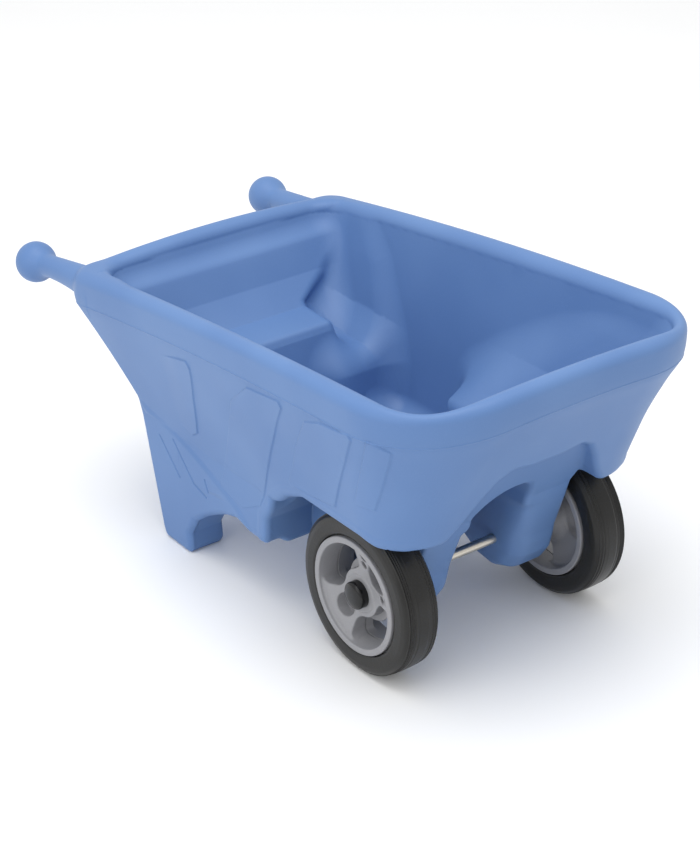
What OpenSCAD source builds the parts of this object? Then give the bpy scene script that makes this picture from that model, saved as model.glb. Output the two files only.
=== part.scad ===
// Child's two-wheeled push cart: a rotationally moulded, hollow double-walled
// tub with its legs and ball-ended handles in one piece, on two rubber-tyred
// wheels that turn on a fixed steel axle.
// +X is the wheel end, the handles are at -X, +Z is up, and the floor is z = 0.
// Body heights and lengths are measured from the axle's station, body_x.

/* [Wheels] */
// Tread diameter of a wheel
wheel_d = 200; // [190:1:200]
// Width of the tyre
tyre_w = 50; // [44:1:52]
// Distance from the cart's middle plane to a wheel's middle plane
wheel_y = 143; // [143:1:146]
// Outside diameter of the hub's rim
rim_d = 145; // [140:1:150]
// Turn of the hub's pattern at rest
hub_turn = 46; // [0:1:90]

/* [Axle] */
// Diameter of the axle rod
axle_d = 12; // [10:0.5:14]
// Half the length of the axle rod
axle_half = 166; // [165:0.5:167]
// Running clearance on the axle, on the radius
running_gap = 0.05; // [0.03:0.01:0.1]

/* [Tub] */
// Length of the tub's rim from its rear face to its front face
tub_len = 725; // [700:1:725]
// Half width of the rim at the front and at the rear
rim_half_front = 226.5; // [220:0.5:230]
rim_half_rear = 212; // [206:0.5:216]
// Height of the rim's crest at the front corners and at the rear corners
rim_z_front = 404; // [396:1:410]
rim_z_rear = 329; // [320:1:336]
// Rise of the crest in the middle of each side
rim_arch = 12; // [0:1:12]
// Radius of the rim's rounded top
rim_r = 15; // [12:0.5:16]
// Depth of the upright band from the rounded top down to the mould's parting line
band_h = 27; // [20:1:30]
// Thickness of the moulded skin
skin = 4; // [3:0.5:5]

/* [Underside] */
// Half width of the body across its legs
body_half = 178; // [176:1:180]
// Inner faces of the legs, from the middle plane
leg_in = 125; // [120:1:128]
// Inner and outer faces of the axle keels, from the middle plane
keel_in = 40; // [36:1:44]
keel_out = 110; // [108:1:110]
// Height of the wheel arch over the floor
arch_z = 204; // [203:1:206]

/* [Handles] */
// Diameter of a handle's ball
ball_d = 54; // [50:1:56]
// Distance of a ball's centre from the middle plane, and its height
ball_y = 185.5; // [180:0.5:190]
ball_z = 289.5; // [285:0.5:295]
// Distance from the axle back to the balls' centres
ball_back = 662; // [650:1:662]

/* [Hidden] */

blue = [0.37, 0.50, 0.77];
grey = [0.58, 0.58, 0.60];
black = [0.10, 0.10, 0.10];
steel = [0.70, 0.68, 0.62];
nylon = [0.88, 0.87, 0.82];

wheel_r = wheel_d / 2;
front_x = 187;
rear_x = front_x - tub_len;
body_x = (ball_back + ball_d / 2 - front_x) / 2;
FINE = 96;
CORNER_STEPS = 6;
EDGE_STEPS = 4;
LEFT = 1;
RIGHT = -1;

// ------------------------------------------------------------------ helpers

function lerp(a, b, t) = a + (b - a) * t;
function flat(list) = [for (part = list) for (item = part) item];

// Points strictly between two corners of an outline.
function between(p, q, steps) = [for (i = [1:steps]) lerp(p, q, i / (steps + 1))];

// Arc of a corner of radius r about c, from angle a to a + 90.
function corner(c, r, a) =
    [for (i = [0:CORNER_STEPS]) c + r * [cos(a + 90 * i / CORNER_STEPS), sin(a + 90 * i / CORNER_STEPS)]];

// Rounded outline in plan. size = [rear x, front x, rear half width, front half width,
// rear corner radius, front corner radius].
function outline(size) =
    let (
        xr = size[0], xf = size[1], wr = size[2], wf = size[3], rr = size[4], rf = size[5],
        front_left = corner([xf - rf, wf - rf], rf, 0),
        rear_left = corner([xr + rr, wr - rr], rr, 90),
        rear_right = corner([xr + rr, rr - wr], rr, 180),
        front_right = corner([xf - rf, rf - wf], rf, 270),
        last = CORNER_STEPS
    )
    flat([
        front_left, between(front_left[last], rear_left[0], EDGE_STEPS * 2),
        rear_left, between(rear_left[last], rear_right[0], EDGE_STEPS),
        rear_right, between(rear_right[last], front_right[0], EDGE_STEPS * 2),
        front_right, between(front_right[last], front_left[0], EDGE_STEPS),
    ]);

// Height of a ring at one of its points: a straight slope from rear to front, with each
// side arched up in its middle.
function ring_z(p, size, z_rear, z_front, arch) =
    let (
        u = 2 * (p[0] - size[0]) / (size[1] - size[0]) - 1,
        half = lerp(size[2], size[3], (u + 1) / 2),
        v = min(1, abs(p[1]) / half)
    )
    lerp(z_rear, z_front, (u + 1) / 2) + arch * ((1 - u * u) * v * v + (1 - v * v) * u * u);

// One ring of a loft. level = [size, rear z, front z, arch].
function ring(level) =
    [for (p = outline(level[0])) [p[0], p[1], ring_z(p, level[0], level[1], level[2], level[3])]];

function middle(points) = [for (k = [0:2]) lerp(min([for (p = points) p[k]]), max([for (p = points) p[k]]), 0.5)];

// Closed solid through a list of levels, lowest first.
module loft(levels) {
    rings = [for (level = levels) ring(level)];
    n = len(rings[0]);
    m = len(rings);
    points = concat(flat(rings), [middle(rings[0]), middle(rings[m - 1])]);
    walls = [for (k = [0:m - 2]) for (i = [0:n - 1])
        each [[k * n + i, (k + 1) * n + (i + 1) % n, k * n + (i + 1) % n],
              [k * n + i, (k + 1) * n + i, (k + 1) * n + (i + 1) % n]]];
    floor_fan = [for (i = [0:n - 1]) [m * n, i, (i + 1) % n]];
    top_fan = [for (i = [0:n - 1]) [m * n + 1, (m - 1) * n + (i + 1) % n, (m - 1) * n + i]];
    polyhedron(points, concat(walls, floor_fan, top_fan));
}

// A size drawn in by d all round.
function inset(size, d) =
    [size[0] + d, size[1] - d, size[2] - d, size[3] - d, max(18, size[4] - d), max(18, size[5] - d)];

// Counter-clockwise polygon moved outwards by d on every edge.
function grown(points, d) =
    let (n = len(points))
    [for (i = [0:n - 1])
        let (
            a = points[(i + n - 1) % n], b = points[i], c = points[(i + 1) % n],
            u = (b - a) / norm(b - a), v = (c - b) / norm(c - b),
            nu = [u[1], -u[0]], nv = [v[1], -v[0]]
        )
        b + (nu + nv) * d / (1 + nu * nv)];

// Side profile (x, z) pushed across the cart from y0 to y1, grown by d.
module across(profile, y0, y1, d = 0) {
    translate([0, y1 + d, 0])
        rotate([90, 0, 0])
            linear_extrude(y1 - y0 + 2 * d) polygon(grown(profile, d));
}

// The same on both sides of the middle plane.
module across_both(profile, y0, y1, d = 0) {
    across(profile, y0, y1, d);
    across(profile, -y1, -y0, d);
}

// Front profile (y, z) pushed along the cart from x0 to x1, grown by d.
module along(profile, x0, x1, d = 0) {
    translate([x0 - d, 0, 0])
        rotate([90, 0, 90])
            linear_extrude(x1 - x0 + 2 * d) polygon(grown(profile, d));
}

function mirrored(profile) = [for (i = [len(profile) - 1:-1:0]) [-profile[i][0], profile[i][1]]];

// --------------------------------------------------------------- body shapes

rim_size = [rear_x, front_x, rim_half_rear, rim_half_front, 26, 125];
tub_foot = [-424, 85, 172, body_half, 24, 52];
tub_foot_z = 165;
tub_waist = [-495, 133, 197, 207, 25, 85];
tub_waist_z = [241, 288];
cavity_floor = [-330, 96, 150, 152, 34, 60];
cavity_floor_z = 112;
cavity_waist = [-455, 112, 168, 180, 28, 60];
cavity_waist_z = [241, 290];
rim_steps = 4;

// Outside of the tub, drawn in by d.
module tub_outside(d) {
    rounded = [for (i = [0:rim_steps])
        let (a = 90 * i / rim_steps, r = rim_r - d)
        [inset(rim_size, d + r * (1 - cos(a))),
         rim_z_rear - rim_r + r * sin(a), rim_z_front - rim_r + r * sin(a), rim_arch]];
    loft(concat(
        [[inset(tub_foot, d), tub_foot_z + d, tub_foot_z + d, 0],
         [inset(tub_waist, d), tub_waist_z[0], tub_waist_z[1], 0],
         [inset(rim_size, d), rim_z_rear - rim_r - band_h, rim_z_front - rim_r - band_h, rim_arch]],
        rounded));
}

// Space inside the tub before its shelf, leg boxes and wheel boxes are put back.
module tub_inside(d) {
    over = 30;
    rounded = [for (i = [0:rim_steps])
        let (a = 90 * i / rim_steps, r = rim_r - d)
        [inset(rim_size, 2 * rim_r - d - r * (1 - cos(a))),
         rim_z_rear - rim_r + r * sin(a), rim_z_front - rim_r + r * sin(a), rim_arch]];
    crest = rounded[rim_steps];
    loft(concat(
        [[inset(cavity_floor, -d), cavity_floor_z - d, cavity_floor_z - d, 0],
         [inset(cavity_waist, -d), cavity_waist_z[0], cavity_waist_z[1], 0]],
        rounded,
        [[crest[0], crest[1] + over, crest[2] + over, crest[3]]]));
}

// Shelf, leg boxes, wheel boxes and ramp that stand up inside the tub.
module tub_floor_shapes(d) {
    shelf = [[-470, 100], [-338, 100], [-372, 216], [-380, 228], [-392, 232], [-470, 230]];
    across(shelf, -200, 200, d);
    leg_box = [[60, 100], [230, 100], [230, 312], [185, 288], [140, 248], [95, 231], [60, 190]];
    intersection() {
        union() {
            along(leg_box, -560, -330, d);
            along(mirrored(leg_box), -560, -330, d);
        }
        across([[-560, 100], [-330, 100], [-336, 173], [-374, 222], [-386, 250], [-480, 300], [-560, 322]],
               -240, 240, d);
    }
    wheel_box = [[95, 100], [250, 100], [250, 345], [205, 335], [165, 266], [114, 223], [95, 205]];
    intersection() {
        union() {
            along(wheel_box, -176, 130, d);
            along(mirrored(wheel_box), -176, 130, d);
        }
        across([[-174, 90], [140, 90], [140, 360], [-148, 360]], -260, 260, d);
    }
    across([[-135, 100], [125, 100], [133, 300], [117, 302], [102, 280], [74, 242], [-112, 176]],
           -130, 130, d);
}

// Everything below the tub before the wheels' space is taken out.
module underside(d) {
    across([[-112, 90], [-112, 190], [-420, 190], [-372, 118], [-345, 94]], -152, 152, d);
    leg = [
        [-385, 0], [-343, 0], [-336, 8], [-333, 30], [-314, 56], [-291, 74], [-268, 87],
        [-245, 98], [-219, 105], [-190, 98], [-172, 96], [-150, 100], [-150, 190],
        [-420, 190], [-424, 163], [-392, 12],
    ];
    across_both(leg, leg_in, body_half, d);
    keel = [
        [-40, 53], [-10, 50], [15, 58], [30, 80], [38, 112], [68, 184], [94, 216], [94, 230],
        [-200, 230], [-200, 92], [-120, 92], [-80, 76],
    ];
    across_both(keel, keel_in, keel_out, d);
}

// Space of the two wheels, the tunnel between the keels and the front recess.
module underside_spaces(d) {
    arch = [[-130, -20], [250, -20], [250, arch_z - 7], [60, arch_z - 7], [40, arch_z],
            [-70, arch_z], [-106, 186], [-142, 160], [-156, 132], [-158, 96], [-150, -20]];
    across_both(arch, keel_out, 260, d);
    well = [[-104, 150], [70, 150], [70, arch_z + 6], [-66, arch_z + 6], [-104, 188]];
    across_both(well, keel_out, wheel_y + tyre_w / 2 + 4, d);
    intersection() {
        tunnel = concat([[-keel_in, -20], [keel_in, -20]],
            [for (i = [0:8]) [keel_in * cos(i * 22.5), 184 + keel_in * sin(i * 22.5)]]);
        along(tunnel, -130, 200, d);
        across([[-126, -20], [200, -20], [200, 240], [80, 226], [-110, 150], [-126, 100]], -60, 60, d);
    }
    intersection() {
        along([[-116, 112], [116, 112], [115, 198], [101, 219], [83, 252], [68, 274], [54, 285], [34, 282],
               [-34, 282], [-54, 285], [-68, 274], [-83, 252], [-101, 219], [-115, 198]], 10, 260, d);
        across([[36, 110], [260, 110], [260, 330], [154, 330], [72, 202], [60, 184]], -130, 130, d);
    }
}

// The two handles: a tapering neck from the tub's rear corner to a ball.
module handles(d) {
    for (side = [LEFT, RIGHT]) {
        ball = [-ball_back, side * ball_y, ball_z];
        root = [rear_x + 28, side * 176, 297];
        span = root - ball;
        length = norm(span);
        translate(ball) {
            sphere(r = ball_d / 2 - d, $fn = FINE);
            rotate([0, acos(span[2] / length), atan2(span[1], span[0])])
                cylinder(h = length, r1 = 14 - d, r2 = 29 - d, $fn = FINE);
        }
    }
}

// Outer skin's shape, drawn in by d, with nothing taken out of the tub.
module outer_form(d) {
    difference() {
        union() {
            tub_outside(d);
            underside(-d);
        }
        underside_spaces(d);
    }
    handles(d);
}

// Space inside the tub, with its walls moved out by d.
module inner_form(d) {
    difference() {
        tub_inside(d);
        tub_floor_shapes(-d);
    }
}

// ------------------------------------------------------------------ the parts

module body() {
    color(blue) translate([body_x, 0, 0]) difference() {
        outer_form(0);
        inner_form(0);
        difference() {
            outer_form(skin);
            inner_form(skin);
            rotate_to_axle(keel_out + 20) cylinder(h = 2 * keel_out + 40, r = axle_d / 2 + 6, $fn = FINE);
        }
        rotate_to_axle(keel_out + 20)
            cylinder(h = 2 * keel_out + 40, r = axle_d / 2 + running_gap, $fn = FINE);
    }
}

// Places a shape drawn along +Z from z = 0 along the axle, starting at y = -start.
module rotate_to_axle(start) {
    translate([0, start, wheel_r]) rotate([90, 0, 0]) children();
}

module axle() {
    chamfer = 1.5;
    color(steel) translate([body_x, axle_half, wheel_r]) rotate([90, 0, 0]) rotate_extrude($fn = FINE)
        polygon([[0, 0], [axle_d / 2 - chamfer, 0], [axle_d / 2, chamfer],
                 [axle_d / 2, 2 * axle_half - chamfer], [axle_d / 2 - chamfer, 2 * axle_half], [0, 2 * axle_half]]);
}

// A wheel's own frame: the origin is at the wheel's middle, +Z points out of the cart.
// The left wheel is the right wheel turned half round about a vertical line.
module wheel_frame(side) {
    translate([body_x, 0, wheel_r])
        rotate([0, 0, side == RIGHT ? 0 : 180])
            translate([0, -wheel_y, 0])
                rotate([90, 0, 0]) children();
}

rim_out = tyre_w / 2 + 1.5;
rim_r_out = rim_d / 2;
rim_r_in = rim_r_out - 7.5;
seat_r = 66;
bush_r = 9;
boss_r = 24;
boss_end = 15;
cone_end = -29;
flange_t = 2;

// Solid turned about the wheel's axis from an (r, z) profile.
module turned(profile) {
    rotate_extrude($fn = FINE) polygon(profile);
}

// Outline of a pocket between two radii and two angles, with rounded corners made by
// points on its arcs.
function pocket(r0, r1, half_angle) =
    let (steps = 8)
    concat(
        [for (i = [0:steps]) r1 * [cos(lerp(-half_angle, half_angle, i / steps)),
                                   sin(lerp(-half_angle, half_angle, i / steps))]],
        [for (i = [steps:-1:0]) r0 * [cos(lerp(-half_angle, half_angle, i / steps)),
                                      sin(lerp(-half_angle, half_angle, i / steps))]]);

// Through-pockets and holes of the hub's web, from z0 up by h.
module hub_openings(z0, h) {
    rotate([0, 0, hub_turn]) translate([0, 0, z0]) {
        for (a = [94, -94]) rotate([0, 0, a])
            linear_extrude(h) polygon(pocket(31.5, 60, 45));
        linear_extrude(h) polygon(pocket(32, 60, 17));
        for (a = [29, -29]) rotate([0, 0, a]) for (r = [43, 54])
            translate([r, 0, 0]) cylinder(h = h, r = 4.5, $fn = FINE);
    }
}

// Outer half of the hub: rim, web and boss, with a deep round recess in one web.
module hub_outer(side) {
    web_top = rim_out - 4;
    color(grey) wheel_frame(side) difference() {
        turned([[bush_r, 0], [seat_r, 0], [seat_r, rim_out - 9], [rim_r_out, rim_out - 7],
                [rim_r_out, rim_out - 1], [rim_r_out - 1, rim_out], [rim_r_in + 1, rim_out],
                [rim_r_in, rim_out - 1], [rim_r_in - 1.5, web_top], [boss_r, web_top],
                [boss_r - 1, boss_end], [bush_r, boss_end]]);
        hub_openings(-1, rim_out + 2);
        rotate([0, 0, hub_turn + 180]) translate([37, 0, 6]) cylinder(h = 30, r = 12, $fn = FINE);
    }
}

// Inner half of the hub: rim, thin web and the long cone that carries the inner bush.
module hub_inner(side) {
    color(grey) wheel_frame(side) difference() {
        turned([[bush_r, cone_end], [17, cone_end], [30, -12], [seat_r - 5, -12],
                [seat_r - 3, 1.5 - rim_out], [rim_r_in + 1, -rim_out], [rim_r_out - 1, -rim_out],
                [rim_r_out, 1 - rim_out], [rim_r_out, 7 - rim_out], [seat_r, 9 - rim_out],
                [seat_r, 0], [bush_r, 0]]);
        hub_openings(-30, 40);
    }
}

// Solid rubber tyre with grooves round its tread, on a crowned profile.
module tyre(side) {
    half = tyre_w / 2;
    groove = 1.2;
    crown = function (y) wheel_r - 3 * pow(abs(y) / half, 4);
    tread = [for (y = [-15, -9, -3, 3, 9, 15]) each
        [[crown(y - 1.6), y - 1.6], [crown(y) - groove, y - 0.8],
         [crown(y) - groove, y + 0.8], [crown(y + 1.6), y + 1.6]]];
    color(black) wheel_frame(side) turned(concat(
        [[seat_r, 7.5 - half], [rim_r_out, 5.5 - half], [rim_r_out + 2, 1 - half], [rim_r_out + 5, -half],
         [wheel_r - 9, -half], [wheel_r - 5, 1.5 - half], [wheel_r - 2.5, 5 - half]],
        tread,
        [[wheel_r - 2.5, half - 5], [wheel_r - 5, half - 1.5], [wheel_r - 9, half],
         [rim_r_out + 5, half], [rim_r_out + 2, half - 1], [rim_r_out, half - 5.5], [seat_r, half - 7.5]]));
}

// Flanged bush in the hub, from z0 to z1, with its flange beyond z1.
module bush(side, z0, z1) {
    out = z1 > z0 ? 1 : -1;
    bore_r = axle_d / 2 + running_gap;
    color(nylon) wheel_frame(side)
        turned([[bore_r, z0], [bush_r, z0], [bush_r, z1], [bush_r + 4, z1],
                [bush_r + 4, z1 + out * flange_t], [bore_r, z1 + out * flange_t]]);
}

// Flat ring round the axle between two distances from the middle plane.
module axle_ring(side, r_out, y0, y1) {
    wheel_frame(side)
        turned([[axle_d / 2, y0 - wheel_y], [r_out, y0 - wheel_y], [r_out, y1 - wheel_y], [axle_d / 2, y1 - wheel_y]]);
}

module inner_washer(side) color(steel) axle_ring(side, 15, keel_out, keel_out + 1.5);

module outer_washer(side) color(steel) axle_ring(side, 12, wheel_y + 17.6, wheel_y + 19.1);

// Push-on retaining ring with a raised edge.
module retaining_ring(side) {
    z = 19.1;
    color(steel) wheel_frame(side)
        turned([[axle_d / 2, z], [10.5, z], [10.5, z + 2], [9, z + 2], [9, z + 0.8], [axle_d / 2, z + 0.8]]);
}

// Domed cap that clips into the hub over the axle's end.
module hub_cap(side) {
    color(black) wheel_frame(side)
        turned([[14, boss_end], [14, 25], [0, 25], [0, 29.2], [6, 29], [12, 28], [15.5, 26.3],
                [17, 24], [17, boss_end]]);
}

body();
axle();
hub_outer(LEFT);  // hub_outer_left
hub_inner(LEFT);  // hub_inner_left
tyre(LEFT);  // tyre_left
bush(LEFT, 1, boss_end);  // outer_bush_left
bush(LEFT, -1, cone_end);  // inner_bush_left
inner_washer(LEFT);  // inner_washer_left
outer_washer(LEFT);  // outer_washer_left
retaining_ring(LEFT);  // retaining_ring_left
hub_cap(LEFT);  // hub_cap_left
hub_outer(RIGHT);  // hub_outer_right
hub_inner(RIGHT);  // hub_inner_right
tyre(RIGHT);  // tyre_right
bush(RIGHT, 1, boss_end);  // outer_bush_right
bush(RIGHT, -1, cone_end);  // inner_bush_right
inner_washer(RIGHT);  // inner_washer_right
outer_washer(RIGHT);  // outer_washer_right
retaining_ring(RIGHT);  // retaining_ring_right
hub_cap(RIGHT);  // hub_cap_right
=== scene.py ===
"""Looks of the children's two-wheeled push cart.

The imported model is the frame. The moulded body and the wheels' hubs, tyres and caps are
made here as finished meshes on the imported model's own sizes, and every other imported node
keeps its shape and gets its finish. Lengths inside the classes are millimetres from the
axle's station on the floor, and turn into the frame's metres when a mesh is made.
"""

import logging
import math
from dataclasses import dataclass, field
from enum import Enum
from itertools import product
from typing import Callable, Sequence

import bmesh
import bpy
import numpy as np
from mathutils import Matrix, Vector

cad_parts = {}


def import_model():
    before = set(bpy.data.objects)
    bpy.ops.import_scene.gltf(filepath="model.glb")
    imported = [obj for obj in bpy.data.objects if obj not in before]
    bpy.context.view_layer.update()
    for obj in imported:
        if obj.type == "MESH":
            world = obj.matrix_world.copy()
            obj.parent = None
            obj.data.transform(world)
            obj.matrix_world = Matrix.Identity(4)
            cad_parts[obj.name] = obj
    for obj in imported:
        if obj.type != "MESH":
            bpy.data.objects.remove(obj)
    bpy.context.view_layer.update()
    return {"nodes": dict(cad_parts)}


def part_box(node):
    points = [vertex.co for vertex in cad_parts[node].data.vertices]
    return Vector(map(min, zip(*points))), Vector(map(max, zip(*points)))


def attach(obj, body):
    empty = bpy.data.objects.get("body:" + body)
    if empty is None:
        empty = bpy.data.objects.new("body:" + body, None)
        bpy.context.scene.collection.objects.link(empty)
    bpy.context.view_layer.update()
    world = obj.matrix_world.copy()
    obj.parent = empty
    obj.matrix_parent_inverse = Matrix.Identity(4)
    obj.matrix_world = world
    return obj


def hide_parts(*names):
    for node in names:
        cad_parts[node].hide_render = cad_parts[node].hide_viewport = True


LOG = logging.getLogger("push_cart")
MM = 0.001
CART = "cart"

Array = np.ndarray
Field = Callable[[Array, Array, Array], Array]
Outline = Sequence[tuple[float, float]]


class Side(Enum):
    """The two sides of the cart; the value is the sign of Y."""

    LEFT = 1
    RIGHT = -1

    @property
    def word(self) -> str:
        """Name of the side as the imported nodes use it."""
        return self.name.lower()


# ----------------------------------------------------------------- shape helpers


def lerp(a: float, b: float, t: Array) -> Array:
    """Value a share t of the way from a to b."""
    return a + (b - a) * t


def smooth_step(t: Array) -> Array:
    """Smooth rise from 0 to 1 as t goes from 0 to 1."""
    t = np.clip(t, 0.0, 1.0)
    return t * t * (3.0 - 2.0 * t)


def join(a: Array, b: Array, radius: float) -> Array:
    """Union of two shapes with a round fillet of that radius between them."""
    bend = np.hypot(np.maximum(radius - a, 0.0), np.maximum(radius - b, 0.0))
    return np.maximum(radius, np.minimum(a, b)) - bend


def keep(a: Array, b: Array, radius: float) -> Array:
    """What two shapes share, with the edge between them rounded to that radius."""
    bend = np.hypot(np.maximum(radius + a, 0.0), np.maximum(radius + b, 0.0))
    return np.minimum(-radius, np.maximum(a, b)) + bend


def cut(a: Array, b: Array, radius: float) -> Array:
    """Shape a with shape b taken out and the edge between them rounded."""
    return keep(a, -b, radius)


def drawn_in(points: Outline, amount: float) -> list[tuple[float, float]]:
    """A counter-clockwise outline moved inwards.

    Args:
        points: Corners of the outline.
        amount: Distance to move each edge inwards.

    Returns:
        The corners of the smaller outline.
    """
    p = np.asarray(points, dtype=float)
    before, after = np.roll(p, 1, axis=0), np.roll(p, -1, axis=0)
    u = (p - before) / np.linalg.norm(p - before, axis=1, keepdims=True)
    v = (after - p) / np.linalg.norm(after - p, axis=1, keepdims=True)
    nu = np.stack([u[:, 1], -u[:, 0]], axis=1)
    nv = np.stack([v[:, 1], -v[:, 0]], axis=1)
    share = 1.0 + np.sum(nu * nv, axis=1, keepdims=True)
    return [tuple(q) for q in p - (nu + nv) * amount / np.maximum(share, 0.35)]


def outline_distance(u: Array, v: Array, points: Outline, radius: float = 0.0) -> Array:
    """Signed distance to an outline in a plane, negative inside.

    Args:
        u: First coordinate of the points asked about.
        v: Second coordinate of the points asked about.
        points: Corners of the outline, counter-clockwise.
        radius: Radius that the outline's outward corners are rounded to.

    Returns:
        The distance at each point.
    """
    corners = drawn_in(points, radius) if radius else list(points)
    best = np.full(np.broadcast(u, v).shape, np.inf)
    inside = np.zeros(best.shape, dtype=bool)
    for (ax, ay), (bx, by) in zip(corners, corners[1:] + corners[:1]):
        ex, ey = bx - ax, by - ay
        wu, wv = u - ax, v - ay
        t = np.clip((wu * ex + wv * ey) / (ex * ex + ey * ey), 0.0, 1.0)
        best = np.minimum(best, (wu - ex * t) ** 2 + (wv - ey * t) ** 2)
        if ey:
            inside ^= ((ay > v) != (by > v)) & (wu < ex * wv / ey)
    return np.where(inside, -1.0, 1.0) * np.sqrt(best) - radius


def flow(t: Array, places: Sequence[float], values: Sequence[float]) -> Array:
    """Smooth curve through values at given places.

    Args:
        t: Where to read the curve.
        places: Increasing places of the values.
        values: The values that the curve passes through.

    Returns:
        The curve's value at each t, held constant past its ends.
    """
    p, q = np.asarray(places, dtype=float), np.asarray(values, dtype=float)
    slope = np.gradient(q, p)
    t = np.clip(t, p[0], p[-1])
    i = np.clip(np.searchsorted(p, t, side="right") - 1, 0, len(p) - 2)
    h = p[i + 1] - p[i]
    s = (t - p[i]) / h
    return (
        (1 + 2 * s) * (1 - s) ** 2 * q[i]
        + s * (1 - s) ** 2 * h * slope[i]
        + s * s * (3 - 2 * s) * q[i + 1]
        + s * s * (s - 1) * h * slope[i + 1]
    )


# ----------------------------------------------------------------- mesh making


@dataclass
class SurfaceMesher:
    """Turns a signed-distance shape into a mesh that lies on its surface."""

    shape: Field
    low: tuple[float, float, float]
    high: tuple[float, float, float]
    step: float
    share_kept: float = 1.0
    detail: Field | None = None
    detail_edge: float = 1.7
    feel: float = 0.35

    def _grid(self) -> tuple[Array, Array]:
        """Values of the shape on a regular grid, and the grid's first point."""
        axes = [np.arange(a, b + self.step, self.step) for a, b in zip(self.low, self.high)]
        x, y, z = axes
        slabs = [
            self.shape(part[:, None, None], y[None, :, None], z[None, None, :]).astype(np.float32)
            for part in np.array_split(x, max(1, len(x) // 40))
        ]
        return np.concatenate(slabs, axis=0), np.array([a[0] for a in axes])

    def _net(self) -> tuple[Array, Array]:
        """One vertex in each cell that the surface crosses, and the quads between them."""
        values, origin = self._grid()
        inside = values < 0.0
        n = np.array(values.shape) - 1
        total = sum(
            inside[i : i + n[0], j : j + n[1], k : k + n[2]].astype(np.int8)
            for i, j, k in product((0, 1), repeat=3)
        )
        active = (total > 0) & (total < 8)
        cells = np.argwhere(active)
        number = np.full(active.shape, -1, dtype=np.int64)
        number[active] = np.arange(len(cells))
        where = np.zeros((len(cells), 3))
        count = np.zeros(len(cells))
        for axis in range(3):
            for first, second in product((0, 1), repeat=2):
                a = np.insert(np.array([first, second]), axis, 0)
                b = a.copy()
                b[axis] = 1
                fa, fb = values[tuple((cells + a).T)], values[tuple((cells + b).T)]
                hit = (fa < 0) != (fb < 0)
                t = fa[hit] / (fa[hit] - fb[hit])
                where[hit] += a + np.outer(t, b - a)
                count[hit] += 1
        vertices = origin + (cells + where / count[:, None]) * self.step
        quads = []
        for axis in range(3):
            lower = np.take(inside, range(inside.shape[axis] - 1), axis=axis)
            upper = np.take(inside, range(1, inside.shape[axis]), axis=axis)
            g = np.argwhere(lower != upper)
            b, c = (axis + 1) % 3, (axis + 2) % 3
            g = g[(g[:, b] > 0) & (g[:, c] > 0) & (g[:, b] < n[b]) & (g[:, c] < n[c])]
            eb, ec = np.eye(3, dtype=int)[b], np.eye(3, dtype=int)[c]
            ring = [number[tuple((g - s).T)] for s in (0 * eb, eb, eb + ec, ec)]
            quad = np.stack(ring, axis=1)
            turned = ~lower[tuple(g.T)]
            quad[turned] = quad[turned][:, ::-1]
            quads.append(quad)
        return vertices, np.concatenate(quads)

    def slope(self, p: Array) -> Array:
        """Gradient of the shape at a list of points."""
        columns = []
        for axis in range(3):
            a, b = p.copy(), p.copy()
            a[:, axis] += self.feel
            b[:, axis] -= self.feel
            columns.append((self.shape(*a.T) - self.shape(*b.T)) / (2 * self.feel))
        return np.stack(columns, axis=1)

    def settle(self, p: Array, rounds: int) -> Array:
        """Points moved along the slope onto the surface."""
        for _ in range(rounds):
            g = self.slope(p)
            size = np.maximum(np.sum(g * g, axis=1), 0.05)
            move = np.clip(self.shape(*p.T) / np.sqrt(size), -self.step, self.step)
            p = p - g * (move / np.sqrt(size))[:, None]
        return p

    def build(self, name: str, place: Callable[[Array], Array]) -> bpy.types.Object:
        """Makes the finished object.

        Args:
            name: Name of the object.
            place: Moves points from the shape's own space into the frame, in metres.

        Returns:
            The object, linked to the scene.
        """
        vertices, quads = self._net()
        obj = object_from_arrays(name, self.settle(vertices, 2), quads)
        if self.share_kept < 1.0:
            thin = obj.modifiers.new("thin", "DECIMATE")
            thin.ratio = self.share_kept
            apply_modifiers(obj)
        if self.detail is not None:
            self._refine(obj)
        mesh = obj.data
        p = self.settle(read_points(mesh), 3)
        g = self.slope(p)
        tip = p + g / np.maximum(np.linalg.norm(g, axis=1, keepdims=True), 1e-9)
        q = place(p)
        normals = place(tip) - q
        normals /= np.linalg.norm(normals, axis=1, keepdims=True)
        mesh.vertices.foreach_set("co", q.astype(np.float32).ravel())
        mesh.update()
        mesh.normals_split_custom_set_from_vertices(normals.tolist())
        LOG.info("%s: %d vertices, %d faces", name, len(mesh.vertices), len(mesh.polygons))
        return obj

    def _refine(self, obj: bpy.types.Object) -> None:
        """Splits the edges near fine detail until they are short enough to show it."""
        bm = bmesh.new()
        bm.from_mesh(obj.data)
        for _ in range(2):
            edges = list(bm.edges)
            ends = np.array([[*e.verts[0].co, *e.verts[1].co] for e in edges])
            middle = (ends[:, :3] + ends[:, 3:]) / 2
            long_enough = np.linalg.norm(ends[:, :3] - ends[:, 3:], axis=1) > self.detail_edge
            near = self.detail(*middle.T) < 0.0
            chosen = [e for e, take in zip(edges, long_enough & near) if take]
            if not chosen:
                break
            bmesh.ops.subdivide_edges(bm, edges=chosen, cuts=1)
            bmesh.ops.triangulate(bm, faces=[f for f in bm.faces if len(f.verts) > 3])
        bm.to_mesh(obj.data)
        bm.free()


def object_from_arrays(name: str, vertices: Array, faces: Array) -> bpy.types.Object:
    """A linked mesh object from vertex and face arrays, with smooth faces."""
    mesh = bpy.data.meshes.new(name)
    mesh.from_pydata(vertices.tolist(), [], faces.tolist())
    mesh.shade_smooth()
    obj = bpy.data.objects.new(name, mesh)
    bpy.context.scene.collection.objects.link(obj)
    return obj


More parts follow.
